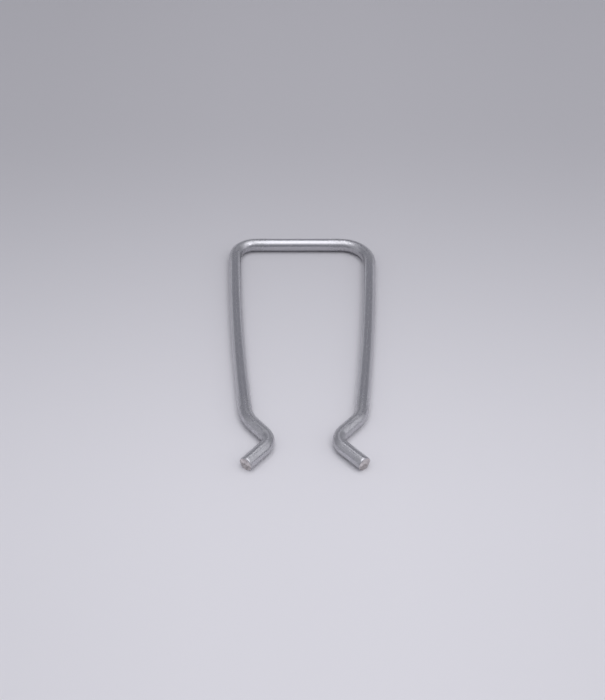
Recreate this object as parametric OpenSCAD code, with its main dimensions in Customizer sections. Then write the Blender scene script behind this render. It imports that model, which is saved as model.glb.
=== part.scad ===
// Wire spring clip: one round wire, bent flat into an open clip that springs at its corners.
// The clip lies in the XY plane. +Y points at the back bar, the tips are at -Y, and +Z is up.
// The origin is under the middle of the clip, on the surface that it lies on.

/* [Wire] */
// Diameter of the round wire
wire_d = 3; // [2:0.1:4]

/* [Clip] */
// Width over the outsides of the two legs, at the corners
clip_w = 34.8; // [30:0.2:60]

/* [Left side] */
// Radius of the corner, to the middle of the wire
left_corner_r = 4.7; // [3:0.1:8]
// Angle that the corner turns through
left_corner_turn = 91.7; // [90:0.1:95]
// Length of the leg, along its bow
left_leg_len = 54; // [40:0.5:120]
// Angle that the leg bows through
left_leg_bow = 4.9; // [1:0.1:8]
// Radius of the knee, to the middle of the wire
left_knee_r = 9.4; // [3:0.1:14]
// Angle that the knee turns inward through
left_knee_turn = 31.5; // [20:0.1:45]
// Length of the straight jog between the knee and the throat
left_jog_len = 4.1; // [2:0.1:8]
// Radius of the throat bend, to the middle of the wire
left_throat_r = 2.9; // [2.2:0.1:6]
// Angle that the throat bend turns outward through
left_throat_turn = 75.9; // [60:0.1:90]
// Length of the straight tip
left_tip_len = 6.5; // [3:0.1:15]

/* [Right side] */
// Radius of the corner, to the middle of the wire
right_corner_r = 6.9; // [3:0.1:8]
// Angle that the corner turns through
right_corner_turn = 91.7; // [90:0.1:95]
// Length of the leg, along its bow
right_leg_len = 52; // [40:0.5:120]
// Angle that the leg bows through
right_leg_bow = 3.8; // [1:0.1:8]
// Radius of the knee, to the middle of the wire
right_knee_r = 6.8; // [3:0.1:14]
// Angle that the knee turns inward through
right_knee_turn = 33.7; // [20:0.1:45]
// Length of the straight jog between the knee and the throat
right_jog_len = 4.5; // [2:0.1:8]
// Radius of the throat bend, to the middle of the wire
right_throat_r = 3.2; // [2.2:0.1:6]
// Angle that the throat bend turns outward through
right_throat_turn = 80.3; // [60:0.1:90]
// Length of the straight tip
right_tip_len = 6.7; // [3:0.1:15]

/* [Finish] */
// Colour of the wire
wire_colour = "silver"; // [silver, lightsteelblue, gray]

/* [Hidden] */
$fn = 64;

wire_r = wire_d / 2;

// A stretch is [kind, size, turn]. A straight's size is its length and its turn is 0.
// A bend's size is its radius, and a positive turn bends the wire clockwise, seen from above.
STRAIGHT = 0;
BEND = 1;

// Places of the stretches in a side's list
CORNER = 0;
LEG = 1;
KNEE = 2;
JOG = 3;
THROAT = 4;
TIP = 5;

function radius_of_bow(length, bow) = length / (bow * PI / 180);

left_side = [
    [BEND, left_corner_r, left_corner_turn],
    [BEND, radius_of_bow(left_leg_len, left_leg_bow), left_leg_bow],
    [BEND, left_knee_r, left_knee_turn],
    [STRAIGHT, left_jog_len, 0],
    [BEND, left_throat_r, -left_throat_turn],
    [STRAIGHT, left_tip_len, 0]
];
right_side = [
    [BEND, right_corner_r, right_corner_turn],
    [BEND, radius_of_bow(right_leg_len, right_leg_bow), right_leg_bow],
    [BEND, right_knee_r, right_knee_turn],
    [STRAIGHT, right_jog_len, 0],
    [BEND, right_throat_r, -right_throat_turn],
    [STRAIGHT, right_tip_len, 0]
];

// A place on the wire is [x, y, heading], for a wire that leaves the bar's middle towards +X.
function chord(s) = s[0] == STRAIGHT ? s[1] : 2 * s[1] * sin(abs(s[2]) / 2);
function after(place, s) = [
    place[0] + chord(s) * cos(place[2] - s[2] / 2),
    place[1] + chord(s) * sin(place[2] - s[2] / 2),
    place[2] - s[2]
];
function place_of(side, i) = i == 0
    ? [clip_w / 2 - wire_r - side[CORNER][1], 0, 0]
    : after(place_of(side, i - 1), side[i - 1]);

// The lowest point of a side is on the rim of its cut end.
function lowest(side) =
    let(cut = place_of(side, len(side))) cut[1] - wire_r * abs(cos(cut[2]));

// The bar's height puts the origin halfway along the clip.
bar_y = -(min(lowest(left_side), lowest(right_side)) + wire_r) / 2;

module wire_straight(length) {
    rotate([0, 90, 0]) cylinder(d = wire_d, h = length);
}

// The bend starts at the origin, heading towards +X.
module wire_bend(radius, turn) {
    bend_side = sign(turn);
    translate([0, -bend_side * radius, 0])
        rotate([0, 0, bend_side > 0 ? 90 - turn : -90])
            rotate_extrude(angle = abs(turn)) translate([radius, 0]) circle(d = wire_d);
}

module stretch(side, i) {
    place = place_of(side, i);
    translate([place[0], bar_y + place[1], wire_r]) rotate([0, 0, place[2]]) {
        if (side[i][0] == STRAIGHT) wire_straight(side[i][1]);
        else wire_bend(side[i][1], side[i][2]);
    }
}

module on_left() { mirror([1, 0, 0]) children(); }

module back_bar() {
    left_end = place_of(left_side, CORNER)[0];
    right_end = place_of(right_side, CORNER)[0];
    color(wire_colour) translate([-left_end, bar_y, wire_r]) wire_straight(left_end + right_end);
}

module left_corner() { color(wire_colour) on_left() stretch(left_side, CORNER); }
module left_leg() { color(wire_colour) on_left() stretch(left_side, LEG); }
module left_knee() { color(wire_colour) on_left() stretch(left_side, KNEE); }
module left_jog() { color(wire_colour) on_left() stretch(left_side, JOG); }
module left_throat() { color(wire_colour) on_left() stretch(left_side, THROAT); }
module left_tip() { color(wire_colour) on_left() stretch(left_side, TIP); }

module right_corner() { color(wire_colour) stretch(right_side, CORNER); }
module right_leg() { color(wire_colour) stretch(right_side, LEG); }
module right_knee() { color(wire_colour) stretch(right_side, KNEE); }
module right_jog() { color(wire_colour) stretch(right_side, JOG); }
module right_throat() { color(wire_colour) stretch(right_side, THROAT); }
module right_tip() { color(wire_colour) stretch(right_side, TIP); }

back_bar();
left_corner();
left_leg();
left_knee();
left_jog();
left_throat();
left_tip();
right_corner();
right_leg();
right_knee();
right_jog();
right_throat();
right_tip();
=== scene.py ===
"""The looks of a wire spring clip: one round steel wire, bent flat, with a sheared face on each tip."""
import math

import bpy
import numpy as np
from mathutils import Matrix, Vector, noise


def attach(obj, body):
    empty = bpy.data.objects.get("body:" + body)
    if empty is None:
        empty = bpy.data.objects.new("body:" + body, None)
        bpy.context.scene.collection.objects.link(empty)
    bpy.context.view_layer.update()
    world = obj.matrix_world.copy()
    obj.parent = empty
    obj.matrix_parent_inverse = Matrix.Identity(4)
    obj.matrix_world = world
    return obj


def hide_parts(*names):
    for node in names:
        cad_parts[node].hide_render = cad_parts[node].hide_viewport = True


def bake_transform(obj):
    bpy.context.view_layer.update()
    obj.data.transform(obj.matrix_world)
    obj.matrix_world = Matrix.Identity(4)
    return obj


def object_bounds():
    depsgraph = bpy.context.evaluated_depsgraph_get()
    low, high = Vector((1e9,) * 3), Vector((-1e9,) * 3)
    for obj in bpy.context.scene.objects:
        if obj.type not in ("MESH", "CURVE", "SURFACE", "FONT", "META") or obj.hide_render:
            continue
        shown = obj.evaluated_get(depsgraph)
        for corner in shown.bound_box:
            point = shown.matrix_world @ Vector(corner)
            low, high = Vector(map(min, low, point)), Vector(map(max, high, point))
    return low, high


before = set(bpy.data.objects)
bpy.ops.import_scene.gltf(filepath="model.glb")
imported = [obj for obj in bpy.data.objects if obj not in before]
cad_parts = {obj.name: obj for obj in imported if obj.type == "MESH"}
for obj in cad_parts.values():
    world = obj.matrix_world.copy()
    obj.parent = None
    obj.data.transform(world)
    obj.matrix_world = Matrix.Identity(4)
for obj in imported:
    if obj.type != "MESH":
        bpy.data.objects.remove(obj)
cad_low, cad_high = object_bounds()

MM = 0.001
UP = Vector((0, 0, 1))

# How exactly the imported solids' flat ends are read: what counts as level, as facing the same way,
# as lying in the same plane, and as a straight stretch
LEVEL = 1e-4
SAME_WAY = 0.99999
SAME_PLANE = 0.001 * MM
STRAIGHT_TURN = 1e-4

# The wire's stretches, in the order that the wire runs, from the left tip to the right tip.
LEFT_LIMB = ["left_tip", "left_throat", "left_jog", "left_knee", "left_leg", "left_corner"]
BAR = ["back_bar"]
RIGHT_LIMB = ["right_corner", "right_leg", "right_knee", "right_jog", "right_throat", "right_tip"]

# The clip is flat, so it is as high as its wire is thick.
WIRE_D = cad_high.z - cad_low.z
WIRE_R = WIRE_D / 2

# The mesh of the wire
SEGMENTS = 72
RING_STEP = 0.3 * MM
RING_TURN = math.radians(1.5)
FACE_RINGS = 22
SHARP_EDGE = math.radians(50)

# What bending did to the wire: its outer side is drawn thin, and the tools pressed it.
# A bend is given as the wire's radius over the bend's. From FULL_BEND on, the steel is as dull as it gets.
BEND_FADE = 0.5 * MM
OUTER_THINNING = 0.60
FULL_BEND = 0.5
TIGHT_TURN = math.radians(20)
TOOL_REACH = 1.0 * MM
TOOL_FADE = 2.5 * MM
NIP_DEPTH = 0.035 * MM
NIP_LENGTH = 0.55 * MM
NIP_SPREAD = math.radians(24)

# What the shear did to a tip: it rolled the upper edge over, cut cleanly, and then tore the rest off.
# Heights and widths on the face are shares of the wire's radius.
END_ZONE = 0.9 * MM
END_RINGS = 16
ROLL_LENGTH = 0.5 * MM
ROLL_DEPTH = 0.24 * MM
ROLL_POWER = 1.3
LEAST_ROLL = 0.01
FACE_LEAN = 0.10 * MM
CLEAN_STREAKS = 0.012 * MM
TORN_LEVEL = -0.12
TORN_WAVE = 0.45
WAVES_PER_RADIUS = 2.2
GRAINS_PER_RADIUS = 5.0
STREAKS_PER_RADIUS = 9.0
STREAK_BREAKS_PER_RADIUS = 0.8
GRAIN_DIMENSION = 0.6
GRAIN_LACUNARITY = 2.2
GRAIN_OCTAVES = 4
TORN_BLUR = 0.10
TORN_STEP = 0.08 * MM
TORN_ROUGHNESS = 0.09 * MM
FURROW_WIDTH = 0.10
FURROW_DEPTH = 0.09 * MM
BURR_LEVEL = -0.80
BURR_RIM = 0.88
BURR_HEIGHT = 0.06 * MM

# The pattern of torn metal differs from tip to tip.
LEFT_SEED = 1.7
RIGHT_SEED = 5.3

# The studio
FLOOR_HALF = 4.0
# Where the floor's painted shade begins and ends, towards the back and out to each side
FADE_FRONT = -60 * MM
FADE_BACK = 100 * MM
SIDE_START = 20 * MM
SIDE_END = 70 * MM
CEILING = 0.5
LAMP_COLOUR = (1.0, 1.0, 1.03)
ELEVATION = math.radians(40)
CAMERA_DISTANCE = 112 * WIRE_D
CAMERA_AIM = Vector((0.1 * MM, -1.9 * MM, WIRE_R))


# ---------------------------------------------------------------- the wire's route, from the frame

def flat_ends(node):
    """The two flat ends of a stretch of wire, each as its centre and the way that it faces."""
    planes = []
    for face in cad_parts[node].data.polygons:
        if abs(face.normal.z) > LEVEL:
            continue
        for plane in planes:
            lift = (face.center - plane[0].center).dot(plane[0].normal)
            if face.normal.dot(plane[0].normal) > SAME_WAY and abs(lift) < SAME_PLANE:
                plane.append(face)
                break
        else:
            planes.append([face])
    ends = []
    for plane in sorted(planes, key=len)[-2:]:
        area = sum(face.area for face in plane)
        centre = sum((face.center * face.area for face in plane), Vector()) / area
        ends.append((centre, plane[0].normal.normalized()))
    return ends


def find_route():
    """Every stretch as {node: (distance along the wire, start, heading, length, turn)}."""
    route, along = {}, 0.0
    place = Vector((cad_low.x, cad_low.y, WIRE_R))
    for node in LEFT_LIMB + BAR + RIGHT_LIMB:
        (start, back), (end, ahead) = sorted(
            flat_ends(node), key=lambda flat_end: (flat_end[0] - place).length
        )
        heading = math.atan2(-back.y, -back.x)
        turn = math.atan2(ahead.y, ahead.x) - heading
        turn = (turn + math.pi) % (2 * math.pi) - math.pi
        length = (end - start).length
        if abs(turn) < STRAIGHT_TURN:
            turn = 0.0
        else:
            length = length * (turn / 2) / math.sin(turn / 2)
        route[node] = (along, start, heading, length, turn)
        along += length
        place = end
    return route


ROUTE = find_route()


def rings_of(nodes):
    """Places for sections through some stretches: distance along the wire, centre and heading."""
    along, centres, headings = [], [], []
    for node in nodes:
        begin, start, heading, length, turn = ROUTE[node]
        count = max(2, math.ceil(max(length / RING_STEP, abs(turn) / RING_TURN)))
        for i in range(0 if not along else 1, count + 1):
            part = length * i / count
            here = heading + turn * i / count
            if turn:
                radius = length / turn
                x = radius * (math.sin(here) - math.sin(heading))
                y = radius * (math.cos(heading) - math.cos(here))
            else:
                x, y = part * math.cos(heading), part * math.sin(heading)
            along.append(begin + part)
            centres.append((start.x + x, start.y + y, WIRE_R))
            headings.append(here)
    return np.array(along), np.array(centres), np.array(headings)


def bend_at(along):
    """How sharply the wire is bent there: its radius over the bend's, positive for a left turn."""
    bend = np.zeros_like(along)
    for begin, _, _, length, turn in ROUTE.values():
        rise = np.tanh((along - begin) / BEND_FADE)
        fall = np.tanh((along - begin - length) / BEND_FADE)
        bend += WIRE_R * turn / length * (rise - fall) / 2
    return bend


def tooled_at(along):
    """How marked by the tools the wire is there: 1 at the tight bends and the cut ends, 0 far off."""
    far_end = ROUTE["right_tip"][0] + ROUTE["right_tip"][3]
    nearest = np.minimum(along, far_end - along)
    for begin, _, _, length, turn in ROUTE.values():
        if abs(turn) > TIGHT_TURN:
            nearest = np.minimum(nearest, np.maximum(begin - along, along - begin - length))
    return np.clip(1 - (nearest - TOOL_REACH) / TOOL_FADE, 0, 1)


# ---------------------------------------------------------------- the wire's surface

def nip_marks():
    """Where the bending tools pressed the wire: (distance along it, angle round it)."""
    marks = []
    for begin, _, _, length, turn in ROUTE.values():
        if abs(turn) > TIGHT_TURN:
            outer = math.pi if turn > 0 else 0.0
            marks.append((begin - NIP_LENGTH, outer))
            marks.append((begin + length / 2, math.pi - outer))
            marks.append((begin + length + NIP_LENGTH, outer))
    return marks


def wire_radius(along, angle):
    """The wire's radius: never more than the drawn wire's own."""
    bend = bend_at(along)
    outward = np.clip(-np.cos(angle) * np.sign(bend), 0, 1)
    radius = WIRE_R * (1 - OUTER_THINNING * bend**2 * outward**2)
    for place, side in nip_marks():
        round_it = (angle - side + math.pi) % (2 * math.pi) - math.pi
        near = ((along - place) / NIP_LENGTH) ** 2 + (round_it / NIP_SPREAD) ** 2
        radius = radius - NIP_DEPTH * np.exp(-near)
    return radius


def clamped(value):
    return min(max(value, 0.0), 1.0)


def torn_edge(across, seed):
    """The wavy height on a sheared face where the clean cut ends and the torn part begins."""
    wave = noise.noise(Vector((across * WAVES_PER_RADIUS, seed, 0.5)))
    return TORN_LEVEL + TORN_WAVE * wave


def face_depth(across, height, seed):
    """How far a sheared face lies behind the wire's end, for a place in wire radii from its centre."""
    below = torn_edge(across, seed) - height
    torn = clamped(below / TORN_BLUR + 0.5)
    place = Vector((across * GRAINS_PER_RADIUS, height * GRAINS_PER_RADIUS, seed))
    grain = noise.fractal(place, GRAIN_DIMENSION, GRAIN_LACUNARITY, GRAIN_OCTAVES)
    place = Vector((across * STREAKS_PER_RADIUS, height * STREAK_BREAKS_PER_RADIUS, seed + 7))
    streak = noise.noise(place)
    furrow = math.exp(-((below - FURROW_WIDTH) / FURROW_WIDTH) ** 2)
    rim = clamped((math.hypot(across, height) - BURR_RIM) / (1 - BURR_RIM))
    burr = rim * clamped((BURR_LEVEL - height) / (1 + BURR_LEVEL))
    depth = FACE_LEAN * (height + 1) / 2
    depth += torn * (TORN_STEP + TORN_ROUGHNESS * (0.5 + grain))
    depth += (1 - torn) * CLEAN_STREAKS * (1 + streak)
    depth += FURROW_DEPTH * furrow * (0.6 + grain)
    return max(0.0, depth - burr * BURR_HEIGHT)


def roll_off(angle):
    """How much of the upper edge the shear rolled over, from 0 to 1, at an angle round the wire."""
    return max(0.0, math.sin(angle)) ** ROLL_POWER


def sheared_rings(seed):
    """A sheared tip's surface, from the wire's side to the face's middle.
    Each ring is a list of (depth behind the wire's end, share of the wire's radius), one per segment."""
    rings = []
    angles = [2 * math.pi * k / SEGMENTS for k in range(SEGMENTS)]
    for i in range(END_RINGS, -1, -1):
        back = END_ZONE * (i / END_RINGS) ** 2
        ring = []
        for angle in angles:
            roll = roll_off(angle)
            edge = 1 - roll * ROLL_DEPTH / WIRE_R
            rim = face_depth(edge * math.cos(angle), edge * math.sin(angle), seed)
            depth = rim + back * (1 - rim / END_ZONE)
            reach = max(0.0, 1 - back / (ROLL_LENGTH * roll)) if roll > LEAST_ROLL else 0.0
            rolled = roll * ROLL_DEPTH / WIRE_R * (1 - math.sqrt(1 - reach**2))
            ring.append((depth, 1 - rolled))
        rings.append(ring)
    for i in range(1, FACE_RINGS):
        share = 1 - i / FACE_RINGS
        ring = []
        for angle in angles:
            edge = 1 - roll_off(angle) * ROLL_DEPTH / WIRE_R
            across, height = edge * share * math.cos(angle), edge * share * math.sin(angle)
            ring.append((face_depth(across, height, seed), edge * share))
        rings.append(ring)
    return rings


# ---------------------------------------------------------------- meshes

def ring_points(centre, heading, radii, angles, depths=0.0):
    """Points round the wire at a section. Angle 0 is on the left of the way that the wire runs."""
    left = np.array((-math.sin(heading), math.cos(heading), 0.0))
    ahead = np.array((math.cos(heading), math.sin(heading), 0.0))
    points = np.outer(radii * np.cos(angles), left) + np.outer(radii * np.sin(angles), UP)
    return centre + points + np.outer(depths * np.ones(len(angles)), ahead)


def tip_sections(seed, centre, heading, distance, ahead, angles):
    """A sheared tip as sections: (points, distance along the wire, radii, whether it's on the face).
    They run from the wire's side to the face's middle.
    ahead is -1 at the wire's start and 1 at its end."""
    sections = []
    for i, ring in enumerate(sheared_rings(seed)):
        depths = np.array([depth for depth, _ in ring])
        radii = np.array([share for _, share in ring]) * wire_radius(distance, angles)
        points = ring_points(centre, heading, radii, angles, -ahead * depths)
        sections.append((points, distance - ahead * depths.mean(), radii, i > END_RINGS))
    return sections


def wire_sections(nodes, seeds, angles):
    """All the sections of some stretches, from start to end. An end with a seed is a sheared tip."""
    along, centres, headings = rings_of(nodes)
    start_tip, end_tip = [], []
    if seeds[0] is not None:
        start_tip = tip_sections(seeds[0], centres[0], headings[0], along[0], -1, angles)[::-1]
    if seeds[1] is not None:
        end_tip = tip_sections(seeds[1], centres[-1], headings[-1], along[-1], 1, angles)
    middle = []
    for distance, centre, heading in zip(along, centres, headings):
        in_start_tip = start_tip and distance - along[0] <= END_ZONE
        in_end_tip = end_tip and along[-1] - distance <= END_ZONE
        if not (in_start_tip or in_end_tip):
            radii = wire_radius(distance, angles)
            middle.append((ring_points(centre, heading, radii, angles), distance, radii, False))
    return start_tip + middle + end_tip


def closed_faces(on_face, seeds):
    """The faces between sections and over both ends, and for each whether it's part of a sheared face.
    The last two points of the mesh are the middles of the two ends."""
    count = len(on_face)
    first_middle, last_middle, last_ring = count * SEGMENTS, count * SEGMENTS + 1, (count - 1) * SEGMENTS
    faces, is_cut = [], []
    for i in range(count - 1):
        near, far = i * SEGMENTS, (i + 1) * SEGMENTS
        for k in range(SEGMENTS):
            m = (k + 1) % SEGMENTS
            faces.append((near + k, near + m, far + m, far + k))
            is_cut.append(on_face[i] or on_face[i + 1])
    for k in range(SEGMENTS):
        m = (k + 1) % SEGMENTS
        faces.append((first_middle, m, k))
        faces.append((last_middle, last_ring + k, last_ring + m))
        is_cut += [seeds[0] is not None, seeds[1] is not None]
    return faces, is_cut


def add_attribute(mesh, name, kind, field, values):
    mesh.attributes.new(name, kind, "POINT").data.foreach_set(field, values)


def wire_mesh(name, nodes, seeds=(None, None)):
    """A closed piece of the wire along some stretches. An end with a seed is a sheared tip."""
    angles = 2 * math.pi * np.arange(SEGMENTS) / SEGMENTS
    rings, places, on_face = [], [], []
    for points, distance, radii, face in wire_sections(nodes, seeds, angles):
        rings.append(points)
        places.append(np.c_[np.full(SEGMENTS, distance), radii * np.cos(angles), radii * np.sin(angles)])
        on_face.append(face)
    points = [tuple(p) for ring in rings for p in ring]
    points += [tuple(rings[0].mean(0)), tuple(rings[-1].mean(0))]
    faces, is_cut = closed_faces(on_face, seeds)

    mesh = bpy.data.meshes.new(name)
    mesh.from_pydata(points, [], faces)
    place = np.vstack(places + [places[0].mean(0)[None], places[-1].mean(0)[None]])
    strain = np.clip(np.abs(bend_at(place[:, 0])) / FULL_BEND, 0, 1)
    add_attribute(mesh, "wire_place", "FLOAT_VECTOR", "vector", place.ravel())
    add_attribute(mesh, "bend", "FLOAT", "value", strain)
    add_attribute(mesh, "tooled", "FLOAT", "value", tooled_at(place[:, 0]))
    mesh.materials.append(STEEL)
    mesh.materials.append(SHEARED)
    mesh.polygons.foreach_set("material_index", np.array(is_cut, np.int32))
    mesh.shade_smooth()
    mesh.set_sharp_from_angle(angle=SHARP_EDGE)
    piece = bpy.data.objects.new(name, mesh)
    bpy.context.scene.collection.objects.link(piece)
    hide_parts(*nodes)
    return piece


# ---------------------------------------------------------------- materials

def new_material(name):
    material = bpy.data.materials.new(name)
    material.use_nodes = True
    return material, material.node_tree, material.node_tree.nodes["Principled BSDF"]


def add_node(tree, kind, inputs, **settings):
    """A shader node, its settings, and its inputs as values or as sockets to link from."""
    made = tree.nodes.new(kind)
    for key, value in settings.items():
        setattr(made, key, value)
    for key, value in inputs.items():
        if isinstance(value, bpy.types.NodeSocket):
            tree.links.new(value, made.inputs[key])
        else:
            made.inputs[key].default_value = value
    return made


def wire_noise(tree, length, width, detail=3.0):
    """Noise whose grains are that long along the wire and that wide round it, in metres."""
    place = add_node(tree, "ShaderNodeAttribute", {}, attribute_name="wire_place")
    scaled = add_node(
        tree, "ShaderNodeMapping",
        {"Vector": place.outputs["Vector"], "Scale": (1 / length, 1 / width, 1 / width)},
    )
    grain = add_node(
        tree, "ShaderNodeTexNoise",
        {"Vector": scaled.outputs["Vector"], "Scale": 1.0, "Detail": detail, "Roughness": 0.55},
    )
    return grain.outputs["Fac"]


def spread(tree, value, low, high, start=0.3, end=0.7):
    """value from start to end becomes low to high."""
    ramp = add_node(
        tree, "ShaderNodeMapRange",
        {"Value": value, "From Min": start, "From Max": end, "To Min": low, "To Max": high},
    )
    return ramp.outputs["Result"]


def calculate(tree, operation, a, b):
    return add_node(tree, "ShaderNodeMath", {0: a, 1: b}, operation=operation).outputs[0]


def mix_colours(tree, share, a, b):
    ramp = add_node(tree, "ShaderNodeMix", {"Factor": share}, data_type="RGBA")
    for socket, colour in ((ramp.inputs[6], a), (ramp.inputs[7], b)):
        if isinstance(colour, bpy.types.NodeSocket):
            tree.links.new(colour, socket)
        else:
            socket.default_value = (*colour, 1)
    return ramp.outputs[2]


def bump(tree, height, distance, strength=1.0, under=None):
    inputs = {"Height": height, "Distance": distance, "Strength": strength}
    if under is not None:
        inputs["Normal"] = under
    return add_node(tree, "ShaderNodeBump", inputs).outputs["Normal"]


def drawn_steel():
    """Drawn steel wire: satin grey, streaked along its length, and scuffed where tools bent it."""
    material, tree, shader = new_material("drawn_steel")
    fine_streaks = wire_noise(tree, 3 * MM, 0.07 * MM)
    broad_streaks = wire_noise(tree, 9 * MM, 0.30 * MM, 2.0)
    mottle = wire_noise(tree, 0.9 * MM, 0.5 * MM, 4.0)
    scuffs = wire_noise(tree, 0.75 * MM, 0.42 * MM, 1.0)
    bend = add_node(tree, "ShaderNodeAttribute", {}, attribute_name="bend").outputs["Fac"]
    tooled = add_node(tree, "ShaderNodeAttribute", {}, attribute_name="tooled").outputs["Fac"]
    worn = spread(tree, tooled, 0.15, 1.0, 0.0, 1.0)

    tint = mix_colours(tree, spread(tree, mottle, 0, 1), (0.540, 0.537, 0.570), (0.620, 0.612, 0.643))
    tint = mix_colours(tree, spread(tree, fine_streaks, 0, 0.35), tint, (0.48, 0.48, 0.49))
    tint = mix_colours(tree, spread(tree, broad_streaks, 0, 0.45), tint, (0.66, 0.66, 0.67))
    smudges = calculate(tree, "MULTIPLY", spread(tree, scuffs, 0, 0.6), worn)
    tint = mix_colours(tree, smudges, tint, (0.44, 0.44, 0.45))
    tree.links.new(tint, shader.inputs["Base Color"])
    shader.inputs["Metallic"].default_value = 1.0

    satin = spread(tree, fine_streaks, 0.18, 0.27)
    dull = spread(tree, bend, 0.0, 0.05, 0.1, 1.0)
    rubbed = calculate(tree, "MULTIPLY", spread(tree, scuffs, 0, 0.15), worn)
    rough = calculate(tree, "ADD", calculate(tree, "ADD", satin, dull), rubbed)
    tree.links.new(rough, shader.inputs["Roughness"])

    grain = bump(tree, fine_streaks, 0.0025 * MM)
    ridges = bump(tree, broad_streaks, 0.005 * MM, under=grain)
    dents = bump(tree, calculate(tree, "MULTIPLY", scuffs, worn), 0.018 * MM, under=ridges)
    peel = wire_noise(tree, 0.25 * MM, 0.18 * MM, 2.0)
    tree.links.new(bump(tree, peel, 0.003 * MM, under=dents), shader.inputs["Normal"])
    return material


def sheared_steel():
    """The face that the shear left: bare steel, torn rough below and wiped smooth above."""
    material, tree, shader = new_material("sheared_steel")
    grit = wire_noise(tree, 0.16 * MM, 0.16 * MM, 5.0)
    patches = wire_noise(tree, 1.0 * MM, 0.7 * MM, 3.0)
    tint = mix_colours(tree, spread(tree, patches, 0, 1), (0.46, 0.43, 0.43), (0.80, 0.76, 0.75))
    place = add_node(tree, "ShaderNodeAttribute", {}, attribute_name="wire_place").outputs["Vector"]
    height = add_node(tree, "ShaderNodeSeparateXYZ", {"Vector": place}).outputs["Z"]
    torn = spread(tree, height, 0.25, 0.0, 2 * TORN_LEVEL * WIRE_R, 0.0)
    tint = mix_colours(tree, torn, tint, (0.28, 0.26, 0.26))
    tree.links.new(tint, shader.inputs["Base Color"])
    shader.inputs["Metallic"].default_value = 1.0
    tree.links.new(spread(tree, grit, 0.30, 0.55), shader.inputs["Roughness"])
    tree.links.new(bump(tree, grit, 0.02 * MM), shader.inputs["Normal"])
    return material


def floor_with_painted_shade():
    """A matt pale floor with painted shade: its colour darkens gently towards the back, and a little to
    each side, in place of the lamps' falloff.
    """
    material, tree, shader = new_material("floor_with_painted_shade")
    place = add_node(tree, "ShaderNodeNewGeometry", {}).outputs["Position"]
    back = add_node(tree, "ShaderNodeSeparateXYZ", {"Vector": place}).outputs["Y"]
    # Painted shade: the floor's colour darkens from the front towards the back.
    fade = add_node(
        tree, "ShaderNodeMapRange",
        {"Value": back, "From Min": FADE_FRONT, "From Max": FADE_BACK},
        interpolation_type="SMOOTHSTEP",
    )
    tint = mix_colours(tree, fade.outputs["Result"], (0.845, 0.834, 0.860), (0.546, 0.538, 0.560))
    # Painted shade: the floor's colour also darkens a little out to each side.
    across = add_node(tree, "ShaderNodeSeparateXYZ", {"Vector": place}).outputs["X"]
    aside = calculate(tree, "ABSOLUTE", across, 0.0)
    beside = spread(tree, aside, 0.0, 0.08, SIDE_START, SIDE_END)
    tint = mix_colours(tree, beside, tint, (0.30, 0.30, 0.32))
    tree.links.new(tint, shader.inputs["Base Color"])
    shader.inputs["Roughness"].default_value = 0.8
    shader.inputs["Specular IOR Level"].default_value = 0.2
    return material


# ---------------------------------------------------------------- the studio

def make_floor():
    half = FLOOR_HALF
    corners = [(-half, -half, 0), (half, -half, 0), (half, half, 0), (-half, half, 0)]
    mesh = bpy.data.meshes.new("floor")
    mesh.from_pydata(corners, [], [(0, 1, 2, 3)])
    mesh.materials.append(floor_with_painted_shade())
    floor = bpy.data.objects.new("floor", mesh)
    bpy.context.scene.collection.objects.link(floor)


def make_panel(name, shape, centre, width, depth, radiance, aim):
    """A flat light of that shape and brightness, which faces aim and isn't seen by the camera."""
    light = bpy.data.lights.new(name, "AREA")
    light.shape = shape
    light.size = width
    light.size_y = depth
    light.energy = radiance * math.pi * width * depth * (math.pi / 4 if shape == "ELLIPSE" else 1)
    light.color = LAMP_COLOUR
    lamp = bpy.data.objects.new(name, light)
    lamp.location = centre
    lamp.rotation_euler = (Vector(aim) - Vector(centre)).to_track_quat("-Z", "Y").to_euler()
    lamp.visible_camera = False
    bpy.context.scene.collection.objects.link(lamp)


def make_ceiling_panel(name, shape, left, right, front, back, radiance):
    """A level light over the clip. Its sides are given as shares of its height."""
    centre = ((left + right) / 2 * CEILING, (front + back) / 2 * CEILING, CEILING)
    below = (centre[0], centre[1], 0)
    make_panel(name, shape, centre, (right - left) * CEILING, (back - front) * CEILING, radiance, below)


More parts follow.
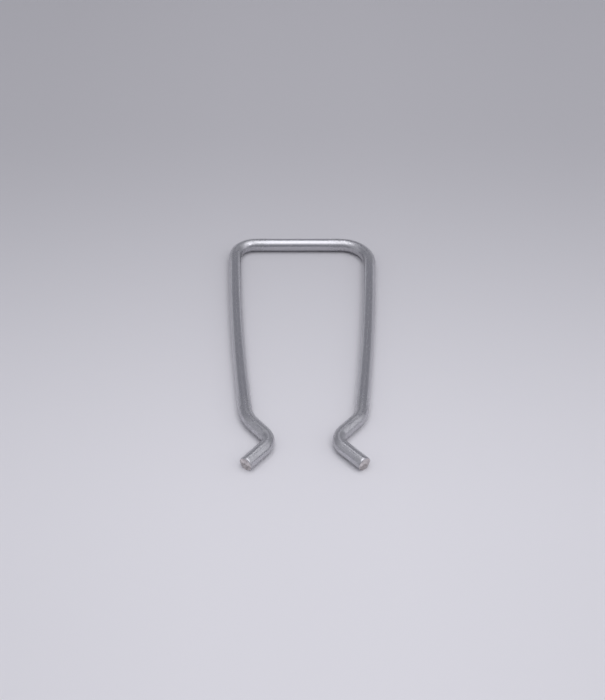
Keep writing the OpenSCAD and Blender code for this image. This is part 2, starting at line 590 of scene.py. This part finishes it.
def make_lights():
    """A softbox and a strip overhead, weaker panels in front, on each side and behind, and an even fill."""
    make_ceiling_panel("overhead_softbox", "ELLIPSE", -0.48, 0.54, -0.44, 0.40, 1.37)
    make_ceiling_panel("overhead_strip", "RECTANGLE", -0.16, 0.18, 0.39, 0.70, 1.37)
    make_ceiling_panel("front_panel", "RECTANGLE", -0.30, 0.30, -0.95, -0.35, 0.55)
    make_ceiling_panel("front_right_panel", "ELLIPSE", 0.02, 0.84, -0.94, -0.20, 1.15)
    make_ceiling_panel("front_left_panel", "ELLIPSE", -0.75, -0.15, -0.80, -0.20, 0.50)
    make_panel("right_panel", "RECTANGLE", (0.54, -0.16, 0.45), 0.72, 0.9, 0.45, (0, -0.16, 0))
    make_panel("left_panel", "RECTANGLE", (-0.57, -0.16, 0.42), 0.72, 0.9, 0.20, (0, -0.16, 0))
    make_panel("back_panel", "RECTANGLE", (0, 1.0, 0.17), 2.6, 0.34, 0.30, (0, 0, 0.17))
    world = bpy.data.worlds.new("studio")
    world.use_nodes = True
    world.node_tree.nodes["Background"].inputs["Color"].default_value = (0.300, 0.302, 0.337, 1)
    bpy.context.scene.world = world


def make_camera():
    """Seen from the front and above."""
    away = Vector((0, -math.cos(ELEVATION), math.sin(ELEVATION)))
    camera = bpy.data.cameras.new("camera")
    camera.lens = 78.35
    camera.sensor_width = 36
    camera.clip_start = 0.01
    camera.clip_end = 20
    viewer = bpy.data.objects.new("camera", camera)
    viewer.location = CAMERA_AIM + CAMERA_DISTANCE * away
    viewer.rotation_euler = (math.pi / 2 - ELEVATION, 0, 0)
    bpy.context.scene.collection.objects.link(viewer)
    bpy.context.scene.camera = viewer
    bpy.context.scene.view_settings.view_transform = "Standard"


# ---------------------------------------------------------------- the clip

make_camera()
make_lights()
make_floor()
STEEL = drawn_steel()
SHEARED = sheared_steel()

bar = wire_mesh("back_bar_wire", BAR)
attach(bar, "back")

left = wire_mesh("left_limb_wire", LEFT_LIMB, (LEFT_SEED, None))
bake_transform(left)

right = wire_mesh("right_limb_wire", RIGHT_LIMB, (None, RIGHT_SEED))
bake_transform(right)
